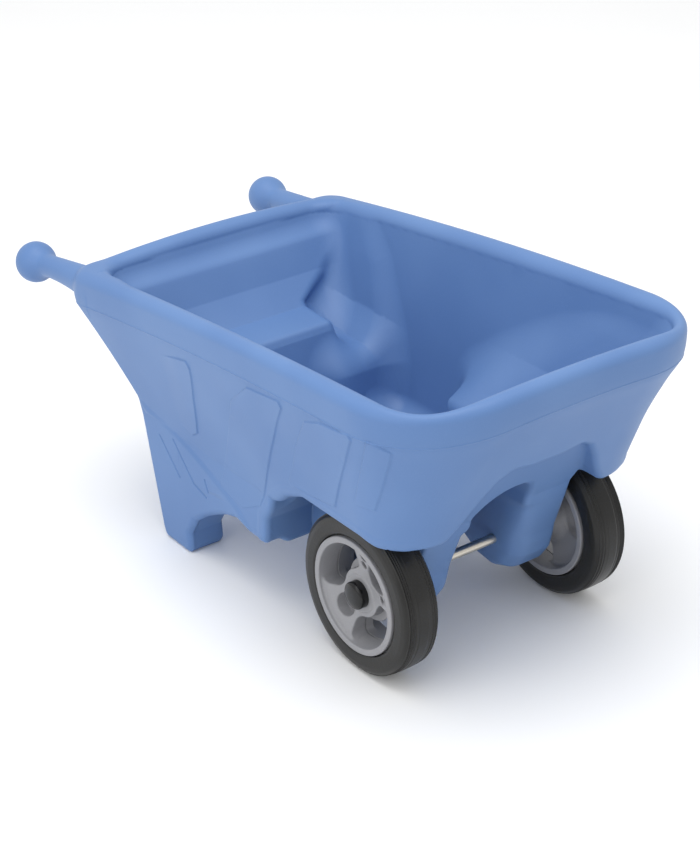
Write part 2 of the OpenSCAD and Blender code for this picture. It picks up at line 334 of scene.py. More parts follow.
def read_points(mesh: bpy.types.Mesh) -> Array:
    """Positions of a mesh's vertices."""
    flat = np.empty(len(mesh.vertices) * 3, dtype=np.float32)
    mesh.vertices.foreach_get("co", flat)
    return flat.reshape(-1, 3).astype(float)


def apply_modifiers(obj: bpy.types.Object) -> None:
    """Replaces an object's mesh with what its modifiers make of it."""
    graph = bpy.context.evaluated_depsgraph_get()
    result = bpy.data.meshes.new_from_object(obj.evaluated_get(graph))
    obj.modifiers.clear()
    obj.data = result


def turned_object(
    name: str, profile: Sequence[tuple[float, float]], place: Callable[[Array], Array], segments: int
) -> bpy.types.Object:
    """A solid turned about the local Z axis.

    Args:
        name: Name of the object.
        profile: Closed (radius, height) outline, in millimetres.
        place: Moves points from the wheel's space into the frame, in metres.
        segments: Number of segments round the axis.

    Returns:
        The object, linked to the scene.
    """
    ring = np.asarray(profile, dtype=float)
    angle = np.arange(segments) * 2 * math.pi / segments
    points = np.stack(
        [
            np.outer(np.cos(angle), ring[:, 0]),
            np.outer(np.sin(angle), ring[:, 0]),
            np.broadcast_to(ring[:, 1], (segments, len(ring))),
        ],
        axis=2,
    ).reshape(-1, 3)
    m = len(ring)
    i, j = np.meshgrid(np.arange(segments), np.arange(m), indexing="ij")
    quads = np.stack(
        [
            i * m + j,
            (i + 1) % segments * m + j,
            (i + 1) % segments * m + (j + 1) % m,
            i * m + (j + 1) % m,
        ],
        axis=2,
    ).reshape(-1, 4)
    obj = object_from_arrays(name, place(points), quads)
    bm = bmesh.new()
    bm.from_mesh(obj.data)
    bmesh.ops.remove_doubles(bm, verts=bm.verts, dist=1e-6)
    bmesh.ops.dissolve_degenerate(bm, edges=bm.edges, dist=1e-7)
    bmesh.ops.recalc_face_normals(bm, faces=bm.faces)
    bm.to_mesh(obj.data)
    bm.free()
    obj.data.set_sharp_from_angle(angle=math.radians(38))
    return obj


def rounded_profile(
    corners: Sequence[tuple[float, float, float]], steps: int = 5
) -> list[tuple[float, float]]:
    """Closed outline with rounded corners.

    Args:
        corners: (radius, height, corner radius) of each corner.
        steps: Points along each rounded corner.

    Returns:
        The outline's points.
    """
    points: list[tuple[float, float]] = []
    n = len(corners)
    for k, (u, v, r) in enumerate(corners):
        here = Vector((u, v))
        back = Vector(corners[k - 1][:2]) - here
        ahead = Vector(corners[(k + 1) % n][:2]) - here
        if r <= 0 or back.length < 1e-6 or ahead.length < 1e-6:
            points.append((u, v))
            continue
        reach = min(r, back.length * 0.49, ahead.length * 0.49)
        a, b = here + back.normalized() * reach, here + ahead.normalized() * reach
        for s in range(steps + 1):
            t = s / steps
            q = a * (1 - t) ** 2 + here * 2 * t * (1 - t) + b * t * t
            points.append((q.x, q.y))
    return points


# ----------------------------------------------------------------- the moulded body


@dataclass
class MouldedBody:
    """Rotationally moulded tub with its rim, legs, axle keels and ball-ended handles."""

    front: float = 186.8
    rear: float = -538.0
    half_front: float = 226.5
    half_rear: float = 212.0
    crest_front: float = 404.0
    crest_rear: float = 329.0
    arch: float = 12.0
    roll: float = 15.0
    band: float = 27.0
    bow: float = 2.0
    corner_rear: float = 27.0
    corner_front: float = 125.0
    foot_z: float = 165.0
    foot_rear: float = -424.0
    foot_half: float = 180.0
    foot_corners: tuple[float, float] = (24.0, 52.0)
    wall_shares: tuple[float, ...] = (-0.4, 0.0, 0.203, 0.396, 0.624, 0.787, 0.914, 1.0)
    wall_fronts: tuple[float, ...] = (62.0, 85.0, 103.0, 119.0, 139.0, 157.0, 173.0)
    wall_trim: float = 0.93
    floor_z: float = 112.0
    rim_width: float = 30.0
    space_shares: tuple[float, ...] = (-0.2, 0.0, 0.3, 0.64, 0.85, 1.0)
    space_fronts: tuple[float, ...] = (90.0, 96.0, 101.0, 113.0, 134.0)
    space_rears: tuple[float, ...] = (-300.0, -330.0, -412.0, -470.0, -495.0)
    space_halves_rear: tuple[float, ...] = (148.0, 150.0, 158.0, 168.0, 176.0)
    space_halves_front: tuple[float, ...] = (150.0, 153.0, 165.0, 180.0, 190.0)
    space_corners_floor: tuple[float, float] = (34.0, 46.0)
    space_corners_rim: tuple[float, float] = (42.0, 62.0)
    space_trim: float = 0.9
    leg_faces: tuple[float, float] = (125.0, 176.0)
    leg_lean: float = 0.026
    leg_top: float = 190.0
    belly_half: float = 152.0
    keel_faces: tuple[float, float] = (38.0, 124.0)
    keel_round: float = 34.0
    well_half: float = 172.0
    tunnel_half: float = 40.0
    tunnel_spring: float = 184.0
    step: float = 3.2
    wheel_gap: float = 110.0
    panel_rise: float = 1.7
    leg_rise: float = 2.4
    lip_rise: float = 1.0
    groove_depth: float = 1.2
    flash_rise: float = 0.7
    ball_at: tuple[float, float, float] = (-662.0, 185.5, 289.5)
    ball_r: float = 27.0
    neck_r: float = 14.5
    neck_length: float = 150.0
    neck_rise: float = 13.0
    neck_drift: float = 8.0
    neck_flare: float = 10.0
    neck_end: float = -500.0

    leg: Outline = (
        (-387, 0), (-331, 0), (-327, 8), (-329, 30), (-314, 56), (-291, 74), (-268, 87),
        (-245, 98), (-219, 105), (-196, 99), (-176, 94), (-158, 95), (-146, 103), (-140, 118), (-140, 205),
        (-440, 205), (-424, 163), (-392, 12),
    )
    belly: Outline = ((-345, 94), (-200, 90), (-150, 84), (-112, 88), (-112, 190), (-420, 190), (-372, 118))
    keel: Outline = (
        (-200, 92), (-120, 92), (-80, 76), (-40, 53), (-10, 49), (15, 58), (30, 80),
        (38, 112), (68, 184), (94, 216), (94, 235), (-200, 235),
    )
    wheel_arch: Outline = (
        (-150, -60), (290, -60), (290, 197), (60, 197), (40, 204), (-70, 204), (-106, 187),
        (-138, 160), (-155, 132), (-158, 96),
    )
    wheel_well: Outline = ((-104, 120), (76, 120), (70, 210), (-66, 210), (-104, 188))
    tunnel_side: Outline = ((-126, -60), (290, -60), (290, 240), (80, 226), (-110, 150), (-126, 100))
    fold: Outline = (
        (-116, 90), (116, 90), (115, 198), (101, 219), (83, 252), (68, 274), (50, 284),
        (24, 278), (-24, 278), (-50, 284), (-68, 274), (-83, 252), (-101, 219), (-115, 198),
    )
    fold_side: Outline = ((36, 96), (320, 96), (320, 330), (154, 330), (72, 202), (60, 184), (38, 112))
    shelf: Outline = (
        (-620, 90), (-330, 90), (-372, 222), (-378, 232), (-434, 234), (-466, 262), (-488, 300), (-620, 300),
    )
    shelf_span: Outline = (
        (-30, 60), (88, 60), (89, 234), (133, 257), (178, 294), (190, 330), (-30, 330),
    )
    leg_box: Outline = (
        (60, 90), (250, 90), (250, 396), (206, 348), (180, 285), (158, 222), (122, 195), (60, 187),
    )
    leg_box_side: Outline = (
        (-620, 90), (-328, 90), (-334, 170), (-350, 212), (-390, 290), (-480, 400), (-620, 420),
    )
    wheel_box: Outline = (
        (95, 90), (270, 90), (270, 352), (207, 322), (165, 262), (116, 222), (95, 204),
    )
    wheel_box_side: Outline = ((-176, 80), (140, 80), (140, 400), (60, 400), (-122, 246), (-172, 200))
    ramp: Outline = ((-135, 90), (140, 90), (146, 320), (122, 312), (103, 280), (74, 242), (-112, 176))

    panels: tuple[tuple[Outline, float, float, float], ...] = (
        (
            (
                (-330, 196), (-300, 186), (-285, 196), (-278, 219), (-269, 255), (-260, 285), (-257, 302),
                (-262, 311), (-282, 306), (-330, 292),
            ),
            -330, -285, 0.0,
        ),
        (
            (
                (-250, 137), (-204, 126), (-164, 148), (-132, 214), (-110, 254), (-77, 310), (-62, 333),
                (-66, 341), (-99, 336), (-131, 331), (-176, 293), (-207, 230), (-234, 177),
            ),
            -230, -110, 0.25,
        ),
        (
            (
                (-92, 214), (-40, 222), (3, 229), (24, 270), (49, 313), (70, 351), (66, 356), (42, 352),
                (14, 348), (-19, 335), (-51, 288), (-70, 252),
            ),
            -90, 10, 0.3,
        ),
        (((46, 256), (74, 256), (120, 352), (94, 360)), 0, 1, 0.3),
    )
    leg_panel: Outline = (
        (-400, -30), (-300, -30), (-150, 70), (-196, 106), (-215, 120), (-238, 131), (-272, 144), (-314, 159),
        (-350, 168), (-392, 176), (-424, 184), (-450, 184),
    )
    grooves: tuple[tuple[tuple[float, float], ...], ...] = (
        ((-381, 151), (-340, 109)),
        ((-349, 158), (-308, 114), (-281, 106)),
        ((-282, 130), (-276, 116)),
    )

    def along(self, x: Array) -> Array:
        """Share of the way from the rim's rear to its front."""
        return (x - self.rear) / (self.front - self.rear)

    def crest(self, x: Array, y: Array) -> Array:
        """Height of the rim's top over a point."""
        t = self.along(x)
        u = np.clip(2 * t - 1, -1.0, 1.0)
        v = np.clip(y / lerp(self.half_rear, self.half_front, t), 0.0, 1.0)
        rise = self.arch * ((1 - u * u) * v * v + (1 - v * v) * u * u)
        return lerp(self.crest_rear, self.crest_front, t) + rise

    @staticmethod
    def plan(
        x: Array, y: Array, rear: Array, front: Array, half: Array, r_rear: Array, r_front: Array
    ) -> Array:
        """Distance to a plan outline with rounded corners, all sizes given per point."""
        r = r_rear + (r_front - r_rear) * smooth_step((x - (rear + front) / 2) / 300 + 0.5)
        qx = np.maximum(x - front, rear - x) + r
        qy = y - half + r
        outside = np.hypot(np.maximum(qx, 0.0), np.maximum(qy, 0.0))
        return outside + np.minimum(np.maximum(qx, qy), 0.0) - r

    def tub_side(self, x: Array, y: Array, z: Array) -> Array:
        """Distance to the tub's outer wall below the rim's rounded top."""
        part = self.crest(x, y) - self.roll - self.band
        t = (z - self.foot_z) / (part - self.foot_z)
        softness, lift = 0.05, 0.006
        t = t - 0.5 * ((t - 1) + np.hypot(t - 1, softness)) + lift
        t = np.clip(t, self.wall_shares[0], 1.0)
        t0 = np.clip(t, 0.0, 1.0)
        front = flow(t, self.wall_shares, (*self.wall_fronts, self.front))
        bow = self.bow * np.clip(y / self.half_rear, 0, 1) ** 2 * t0
        rear = lerp(self.foot_rear, self.rear, t) + bow
        lean = 2.0
        spread = lerp(self.half_rear, self.half_front, self.along(x)) - self.foot_half - lean
        half = self.foot_half + lean * t + spread * t0**1.1
        r_rear = lerp(self.foot_corners[0], self.corner_rear, t0)
        r_front = lerp(self.foot_corners[1], self.corner_front, t0)
        return self.plan(x, y, rear, front, half, r_rear, r_front) * self.wall_trim

    def cavity(self, x: Array, y: Array, z: Array) -> Array:
        """Space inside the tub."""
        top = self.crest(x, y) - self.roll
        places = self.space_shares
        t = np.clip((z - self.floor_z) / (top - self.floor_z), places[0], 1.0)
        front = flow(t, places, (*self.space_fronts, self.front - self.rim_width))
        rear = flow(t, places, (*self.space_rears, self.rear + self.rim_width))
        half_r = flow(t, places, (*self.space_halves_rear, self.half_rear - self.rim_width))
        half_f = flow(t, places, (*self.space_halves_front, self.half_front - self.rim_width))
        bow = self.bow * np.clip(y / self.half_rear, 0, 1) ** 2 * np.clip(t, 0, 1)
        corners = [lerp(a, b, t) for a, b in zip(self.space_corners_floor, self.space_corners_rim)]
        half = lerp(half_r, half_f, self.along(x))
        space = self.plan(x, y, rear + bow, front, half, *corners) * self.space_trim
        space = keep(space, self.floor_z - z, 20.0)
        space = cut(space, outline_distance(x, z, self.ramp, 8.0), 14.0)
        boxes = keep(
            outline_distance(y, z, self.wheel_box, 16.0),
            outline_distance(x, z, self.wheel_box_side, 14.0),
            30.0,
        )
        space = cut(space, boxes, 50.0)
        seat = keep(
            outline_distance(x, z, self.shelf, 8.0), outline_distance(y, z, self.shelf_span, 8.0), 11.0
        )
        space = cut(space, seat, 20.0)
        wedges = keep(
            outline_distance(y, z, self.leg_box, 20.0), outline_distance(x, z, self.leg_box_side, 14.0), 20.0
        )
        return cut(space, wedges, 32.0)

    def handle(self, x: Array, y: Array, z: Array) -> Array:
        """One handle: a ball on a neck that flares into the tub's corner."""
        bx, by, bz = self.ball_at
        ball = np.sqrt((x - bx) ** 2 + (y - by) ** 2 + (z - bz) ** 2) - self.ball_r
        s = np.clip((x - bx) / self.neck_length, 0.0, 1.1)
        axis_z = bz + self.neck_rise * (1 - (1 - s) ** 2)
        axis_y = by - self.neck_drift * s
        neck = (np.hypot(y - axis_y, z - axis_z) - self.neck_r - self.neck_flare * s**2.4) * 0.95
        neck = np.maximum(neck, np.maximum(bx - x, x - self.neck_end))
        return join(ball, neck, 7.0)

    def relief(self, x: Array, y: Array, z: Array) -> Array:
        """Height of the side walls' shallow panels, leg panel, wheel-arch lip and grooves."""
        rise = np.zeros(np.broadcast(x, z).shape)
        for panel, flush, full, least in self.panels:
            share = lerp(least, 1.0, smooth_step((x - flush) / (full - flush)))
            edge = smooth_step(0.5 - outline_distance(x, z, panel, 3.0) / 1.8)
            rise = rise + self.panel_rise * share * edge
        rise = rise + self.leg_rise * smooth_step(0.5 - outline_distance(x, z, self.leg_panel) / 9.0)
        lip = np.abs(outline_distance(x, z, self.wheel_arch, 12.0) - 8.0) - 8.0
        rise = rise + self.lip_rise * smooth_step(0.5 - lip / 6.0)
        for path in self.grooves:
            near = np.full(rise.shape, np.inf)
            for a, b in zip(path[:-1], path[1:]):
                near = np.minimum(near, segment_distance(x, z, a, b))
            rise = rise - self.groove_depth * smooth_step(1.4 - near / 1.6)
        return rise

    def parting(self, x: Array, y: Array, z: Array) -> Array:
        """Height distance from the mould's parting line."""
        return np.abs(z - self.crest(x, y) + self.roll + self.band)

    def solid(self, x: Array, y: Array, z: Array) -> Array:
        """Signed distance to the whole moulding, negative inside."""
        y = np.abs(y)
        side = self.tub_side(x, y, z)
        top = self.crest(x, y) - self.roll
        tub = keep(keep(side, self.foot_z - z, 9.0), z - top - self.roll, self.roll)
        leg_in, leg_out = self.leg_faces
        faces = np.maximum(y - leg_out - self.leg_lean * z, leg_in - y)
        leg = keep(outline_distance(x, z, self.leg, 8.0), faces, 8.0)
        leg = keep(leg, z - self.leg_top, 3.0)
        belly = keep(outline_distance(x, z, self.belly, 10.0), y - self.belly_half, 12.0)
        keel_in, keel_out = self.keel_faces
        keel = keep(outline_distance(x, z, self.keel, 10.0), y - keel_out, 4.0)
        keel = keep(keel, keel_in - y, self.keel_round)
        form = join(join(tub, leg, 2.0), join(belly, keel, 6.0), 8.0)
        space = np.maximum(outline_distance(x, z, self.wheel_arch, 12.0), self.wheel_gap - y)
        well_faces = np.maximum(self.wheel_gap - y, y - self.well_half)
        well = np.maximum(outline_distance(x, z, self.wheel_well, 16.0), well_faces)
        form = cut(form, join(space, well, 3.0), 8.0)
        arch = np.hypot(y, np.maximum(z - self.tunnel_spring, 0.0)) - self.tunnel_half
        tunnel = keep(arch, outline_distance(x, z, self.tunnel_side, 10.0), 3.0)
        form = cut(form, tunnel, 9.0)
        recess = keep(
            outline_distance(y, z, self.fold, 7.0), outline_distance(x, z, self.fold_side, 12.0), 4.0
        )
        form = cut(form, recess, 7.0)
        on_wall = smooth_step((side + 9.0) / 4.0) * smooth_step((y - 150.0) / 12.0)
        within = smooth_step(1.6 - np.abs(x + 120.0) / 330.0)
        form = form - self.relief(x, y, z) * on_wall * within
        flash = smooth_step(1.25 - self.parting(x, y, z) / 1.2) * smooth_step((side + 5.0) / 3.0)
        form = form - self.flash_rise * flash
        form = join(form, self.handle(x, y, z), 14.0)
        edge = lerp(3.0, self.roll, smooth_step((z - top + 30.0) / 18.0))
        return np.maximum(cut(form, self.cavity(x, y, z), edge), -z)

    def fine(self, x: Array, y: Array, z: Array) -> Array:
        """Negative where the mesh has to be fine enough for the relief."""
        y = np.abs(y)
        near = self.parting(x, y, z) - 3.5
        for panel, *_ in self.panels:
            near = np.minimum(near, np.abs(outline_distance(x, z, panel, 3.0)) - 3.0)
        for path in self.grooves:
            for a, b in zip(path[:-1], path[1:]):
                near = np.minimum(near, segment_distance(x, z, a, b) - 4.0)
        wall = np.abs(self.tub_side(x, y, z)) - 6.0
        return np.maximum(np.maximum(near, wall), 120.0 - y - 400.0 * (x > 60.0) - 400.0 * (x < -430.0))

    def build(self, dress: "Finish", station: float) -> bpy.types.Object:
        """Makes the moulding as one piece that rides on the cart."""
        mesher = SurfaceMesher(
            shape=self.solid,
            low=(-698.0, -236.0, -9.0),
            high=(200.0, 236.0, 428.0),
            step=self.step,
            share_kept=0.42,
            detail=self.fine,
        )
        obj = mesher.build("moulded_body", lambda p: (p + (station, 0.0, 0.0)) * MM)
        dress.put_on(obj)
        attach(obj, CART)
        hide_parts("body")
        return obj


def segment_distance(u: Array, v: Array, a: tuple[float, float], b: tuple[float, float]) -> Array:
    """Distance in a plane from points to a straight line between a and b."""
    ex, ey = b[0] - a[0], b[1] - a[1]
    t = np.clip(((u - a[0]) * ex + (v - a[1]) * ey) / (ex * ex + ey * ey), 0.0, 1.0)
    return np.hypot(u - a[0] - ex * t, v - a[1] - ey * t)


# ----------------------------------------------------------------- the wheels


@dataclass
class Wheel:
    """One wheel: ribbed solid tyre, two-piece hub and domed cap, about its own axis."""

    side: Side
    station: float
    radius: float = 100.0
    width: float = 50.0
    offset: float = 143.0
    ring_r: float = 72.5
    barrel_face: float = 64.5
    barrel_mid: float = 62.0
    half: float = 26.5
    turn: float = 46.0
    cap_r: float = 17.0
    pocket_r: float = 48.0
    pocket_half: float = 18.0
    pocket_corner: float = 13.0
    tread_lines: tuple[tuple[float, float, float], ...] = (
        (-17, 1.0, 1.2), (-12.5, 0.8, 0.9), (12.5, 0.9, 0.9), (15.5, 0.9, 0.9), (18, 1.1, 1.0),
    )

    def place(self, p: Array) -> Array:
        """Moves points from the wheel's own space into the frame, in metres."""
        sign = float(-self.side.value)
        x = self.station + sign * p[:, 0]
        y = -sign * (p[:, 2] + self.offset)
        return np.stack([x, y, self.radius + p[:, 1]], axis=1) * MM

    def pocket(self, r: Array, angle: Array, centre: float, spread: float) -> Array:
        """Distance to one rounded pocket of the web."""
        away = np.abs((angle - math.radians(centre) + math.pi) % (2 * math.pi) - math.pi)
        qa = r * (away - math.radians(spread)) + self.pocket_corner
        qr = np.abs(r - self.pocket_r) - self.pocket_half + self.pocket_corner
        outside = np.hypot(np.maximum(qa, 0.0), np.maximum(qr, 0.0))
        return outside + np.minimum(np.maximum(qa, qr), 0.0) - self.pocket_corner

    def openings(self, x: Array, y: Array) -> Array:
        """Distance to the pockets and small holes that go through the web."""
        r, angle = np.hypot(x, y), np.arctan2(y, x)
        space = self.pocket(r, angle, self.turn + 96, 50)
        space = np.minimum(space, self.pocket(r, angle, self.turn - 94, 52))
        space = np.minimum(space, self.pocket(r, angle, self.turn, 20))
        for away, reach in product((31.0, -29.0), (45.0, 57.0)):
            a = math.radians(self.turn + away)
            hole = np.hypot(x - reach * math.cos(a), y - reach * math.sin(a)) - 4.8
            space = np.minimum(space, hole)
        return space

    def barrel(self, r: Array, z: Array) -> Array:
        """Distance to the hub's rim with its drafted inside."""
        inner = lerp(self.barrel_mid, self.barrel_face, np.abs(z) / self.half) - r
        seat = np.where(np.abs(z) > self.half - 7.0, self.ring_r, 66.0)
        rim = keep(np.maximum(r - seat, inner), np.abs(z) - self.half, 1.3)
        return rim

    def outer_half(self, x: Array, y: Array, z: Array) -> Array:
        """Outer half of the hub."""
        r = np.hypot(x, y)
        dish = 14.0 + 7.5 * smooth_step((r - 26.0) / 40.0)
        web = keep(z - dish, r - 65.0, 1.0)
        web = cut(web, self.openings(x, y), 1.8)
        a = math.radians(self.turn + 181.0)
        recess = np.hypot(x - 38.0 * math.cos(a), y - 38.0 * math.sin(a)) - 14.0
        web = cut(web, np.maximum(recess, 5.0 - z), 1.6)
        boss = np.maximum(r - 23.0, z - 15.0)
        form = join(join(web, boss, 2.5), self.barrel(r, z), 3.0)
        form = keep(form, 0.35 - z, 0.6)
        return np.maximum(form, 9.2 - r)

    def inner_half(self, x: Array, y: Array, z: Array) -> Array:
        """Inner half of the hub, with the long cone round the inner bush."""
        r = np.hypot(x, y)
        web = keep(np.maximum(-12.0 - z, r - 65.0), z, 1.0)
        web = cut(web, self.openings(x, y), 1.8)
        cone = keep((r - 17.0 - (z + 29.0) * 0.78) * 0.8, -29.0 - z, 1.5)
        form = join(join(web, cone, 4.0), self.barrel(r, z), 3.0)
        form = keep(form, z + 0.35, 0.6)
        return np.maximum(form, 9.2 - r)

    def tyre_profile(self) -> list[tuple[float, float]]:
        """Closed outline of the tyre's section."""
        h, top = self.width / 2, self.radius
        ribs: list[tuple[float, float, float]] = []
        for y, depth, wide in self.tread_lines:
            crown = top - 2.6 * (abs(y) / h) ** 3
            ribs += [(crown, y - wide - 0.8, 0.5), (crown - depth, y - wide * 0.5, 0.3)]
            ribs += [(crown - depth, y + wide * 0.5, 0.3), (crown, y + wide + 0.8, 0.5)]
        ribs[8:8] = [(top - 0.2, -7.0, 0.8), (top, -5.6, 0.6), (top, 6.2, 0.6), (top - 0.6, 7.4, 0.8)]
        corners = [
            (66.2, 18.8, 0.0), (66.2, -18.8, 0.0), (72.9, -19.6, 0.0), (74.2, -h + 1.2, 0.8), (77.0, -h, 1.4),
            (88.0, -h, 1.0), (94.5, -h + 1.2, 4.0), (97.6, -h + 5.0, 1.8),
            *ribs,
            (97.6, h - 5.0, 1.8), (94.5, h - 1.2, 4.0), (88.0, h, 1.0), (77.0, h, 1.4), (74.2, h - 1.2, 0.8),
            (72.9, 19.6, 0.0),
        ]
        return rounded_profile(corners, 4)

    def cap_profile(self) -> list[tuple[float, float]]:
        """Closed outline of the domed cap's section."""
        return rounded_profile(
            [
                (0.0, 24.6, 0.0), (13.6, 24.6, 0.0), (13.9, 15.1, 0.0), (self.cap_r, 15.1, 0.3),
                (self.cap_r - 0.1, 25.6, 3.2), (9.0, 28.6, 5.0), (0.0, 29.2, 0.0),
            ],
            7,
        )

    def _fit(self, obj: bpy.types.Object, dress: "Finish", node: str) -> None:
        """Finishes a piece, sets it riding on its wheel and puts it in its node's place."""
        dress.put_on(obj)
        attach(obj, f"wheel_{self.side.word}")
        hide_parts(f"{node}_{self.side.word}")
        LOG.info("%s made", obj.name)

    def build(self, rubber: "Finish", hub: "Finish", gloss: "Finish") -> None:
        """Makes the wheel's visible pieces."""
        word = self.side.word
        tyre = turned_object(f"ribbed_tyre_{word}", self.tyre_profile(), self.place, 216)
        self._fit(tyre, rubber, "tyre")
        reach = self.ring_r + 3.0
        for node, shape, low, high in (
            ("hub_outer", self.outer_half, -2.0, 29.0),
            ("hub_inner", self.inner_half, -32.0, 2.0),
        ):
            mesher = SurfaceMesher(
                shape, (-reach, -reach, low), (reach, reach, high), 1.25, share_kept=0.5, feel=0.15
            )
            self._fit(mesher.build(f"{node}_moulding_{word}", self.place), hub, node)
        cap = turned_object(f"domed_cap_{word}", self.cap_profile(), self.place, 96)
        self._fit(cap, gloss, "hub_cap")


# ----------------------------------------------------------------- shader effects


@dataclass
class NodeMaker:
    """Adds and joins nodes in one node tree."""

    tree: bpy.types.NodeTree

    def add(self, kind: str, **settings: object) -> bpy.types.Node:
        """A new node with some of its settings and input values set.

        Args:
            kind: Blender's identifier of the node.
            **settings: Attribute values, or values or sockets for inputs under their
                names with spaces as underscores.

        Returns:
            The node.
        """
        node = self.tree.nodes.new(kind)
        for key, value in settings.items():
            if hasattr(node, key) and key not in {"inputs", "outputs"}:
                setattr(node, key, value)
        for key, value in settings.items():
            if not hasattr(node, key):
                self.feed(node, key.replace("_", " "), value)
        return node

    def feed(self, node: bpy.types.Node, name: str | int, value: object) -> None:
        """Sets or links one input."""
        socket = node.inputs[name]
        if isinstance(value, bpy.types.NodeSocket):
            self.tree.links.new(value, socket)
        else:
            socket.default_value = value

    def math(self, operation: str, a: object, b: object = 0.0, clamp: bool = False) -> bpy.types.NodeSocket:
        """Result of one arithmetic step."""
        node = self.add("ShaderNodeMath", operation=operation, use_clamp=clamp)
        self.feed(node, 0, a)
        self.feed(node, 1, b)
        return node.outputs[0]

    def blend(self, share: object, a: object, b: object) -> bpy.types.NodeSocket:
        """Mix of two colours."""
        node = self.add("ShaderNodeMix", data_type="RGBA")
        for index, value in ((0, share), (6, a), (7, b)):
            self.feed(node, index, value)
        return node.outputs[2]

    def noise(
        self, place: object, scale: object, detail: float = 3.0, rough: float = 0.5
    ) -> bpy.types.NodeSocket:
        """Noise value at a place."""
        node = self.add("ShaderNodeTexNoise", Vector=place, Scale=scale, Detail=detail, Roughness=rough)
        return node.outputs["Fac"]

    def ramp(self, value: object, low: float, high: float) -> bpy.types.NodeSocket:
        """Value stretched so that low gives 0 and high gives 1."""
        node = self.add("ShaderNodeMapRange", interpolation_type="SMOOTHSTEP")
        for index, given in ((0, value), (1, low), (2, high), (3, 0.0), (4, 1.0)):
            self.feed(node, index, given)
        return node.outputs[0]


class SocketKind(Enum):
    """Kinds of group sockets."""

    NUMBER = "NodeSocketFloat"
    COLOUR = "NodeSocketColor"
    VECTOR = "NodeSocketVector"


class EffectGroup:
    """A shader node group made once and placed in any material."""

    def __init__(
        self, name: str, inputs: dict[str, tuple[SocketKind, object]], outputs: dict[str, SocketKind]
    ) -> None:
        """Makes the group's sockets.

        Args:
            name: Name of the group.
            inputs: Kind and starting value of each input.
            outputs: Kind of each output.
        """
        self.tree = bpy.data.node_groups.new(name, "ShaderNodeTree")
        for label, (kind, value) in inputs.items():
            socket = self.tree.interface.new_socket(label, in_out="INPUT", socket_type=kind.value)
            socket.default_value = value
        for label, kind in outputs.items():
            self.tree.interface.new_socket(label, in_out="OUTPUT", socket_type=kind.value)
        self.maker = NodeMaker(self.tree)
        self.given = self.tree.nodes.new("NodeGroupInput").outputs
        self.result = self.tree.nodes.new("NodeGroupOutput")

    def place_in(self, maker: NodeMaker, **values: object) -> bpy.types.Node:
        """Adds the group to a material with its own values."""
        node = maker.tree.nodes.new("ShaderNodeGroup")
        node.node_tree = self.tree
        for key, value in values.items():
            maker.feed(node, key.replace("_", " "), value)
        return node


class MottleEffect(EffectGroup):
    """Slow drift of a moulded colour, with fine specks of pigment."""

    def __init__(self) -> None:
        """Builds the group."""
        number, colour, vector = SocketKind.NUMBER, SocketKind.COLOUR, SocketKind.VECTOR
        super().__init__(
            "moulded mottle",
            {
                "Place": (vector, (0, 0, 0)), "Colour": (colour, (0.5, 0.5, 0.5, 1)),
                "Pale": (colour, (0.6, 0.6, 0.6, 1)), "Drift": (number, 0.3), "Specks": (number, 0.1),
                "Scale": (number, 6.0),
            },
            {"Colour": colour},
        )
        m, given = self.maker, self.given
        slow = m.ramp(m.noise(given["Place"], given["Scale"], 2.0), 0.35, 0.68)
        fine = m.ramp(m.noise(given["Place"], 520.0, 1.0, 0.4), 0.52, 0.74)
        first = m.blend(m.math("MULTIPLY", slow, given["Drift"]), given["Colour"], given["Pale"])
        second = m.blend(m.math("MULTIPLY", fine, given["Specks"]), first, given["Pale"])
        m.feed(self.result, "Colour", second)


class SkinEffect(EffectGroup):
    """Fine skin of a moulding: orange peel, pits and long soft scuffs."""

    def __init__(self) -> None:
        """Builds the group."""
        number, vector = SocketKind.NUMBER, SocketKind.VECTOR
        super().__init__(
            "moulded skin",
            {
                "Place": (vector, (0, 0, 0)), "Peel Scale": (number, 260.0), "Pit Scale": (number, 900.0),
                "Roughness": (number, 0.4), "Spread": (number, 0.1), "Scuffs": (number, 0.3),
            },
            {"Height": number, "Roughness": number, "Scuff": number},
        )
        m, given = self.maker, self.given
        peel = m.noise(given["Place"], given["Peel Scale"], 2.0, 0.45)
        pits = m.noise(given["Place"], given["Pit Scale"], 1.0, 0.5)
        waves = m.noise(given["Place"], 9.0, 2.0, 0.5)
        stretch = m.add(
            "ShaderNodeMapping", Vector=given["Place"], Scale=(14.0, 160.0, 220.0), Rotation=(0.2, 0.35, 0.5)
        )
        lines = m.ramp(m.noise(stretch.outputs[0], 3.0, 3.0, 0.6), 0.66, 0.78)
        patches = m.ramp(m.noise(given["Place"], 7.0, 2.0), 0.5, 0.7)
        scuff = m.math("MULTIPLY", m.math("MULTIPLY", lines, patches), given["Scuffs"])
        height = m.math("ADD", m.math("MULTIPLY", peel, 0.7), m.math("MULTIPLY", pits, 0.3))
        height = m.math("SUBTRACT", height, m.math("MULTIPLY", scuff, 0.5))
        swing = m.math("MULTIPLY", m.math("SUBTRACT", waves, 0.5), given["Spread"])
        rough = m.math("ADD", m.math("ADD", given["Roughness"], swing), m.math("MULTIPLY", scuff, 0.18))
        m.feed(self.result, "Height", height)
        m.feed(self.result, "Roughness", rough)
        m.feed(self.result, "Scuff", scuff)


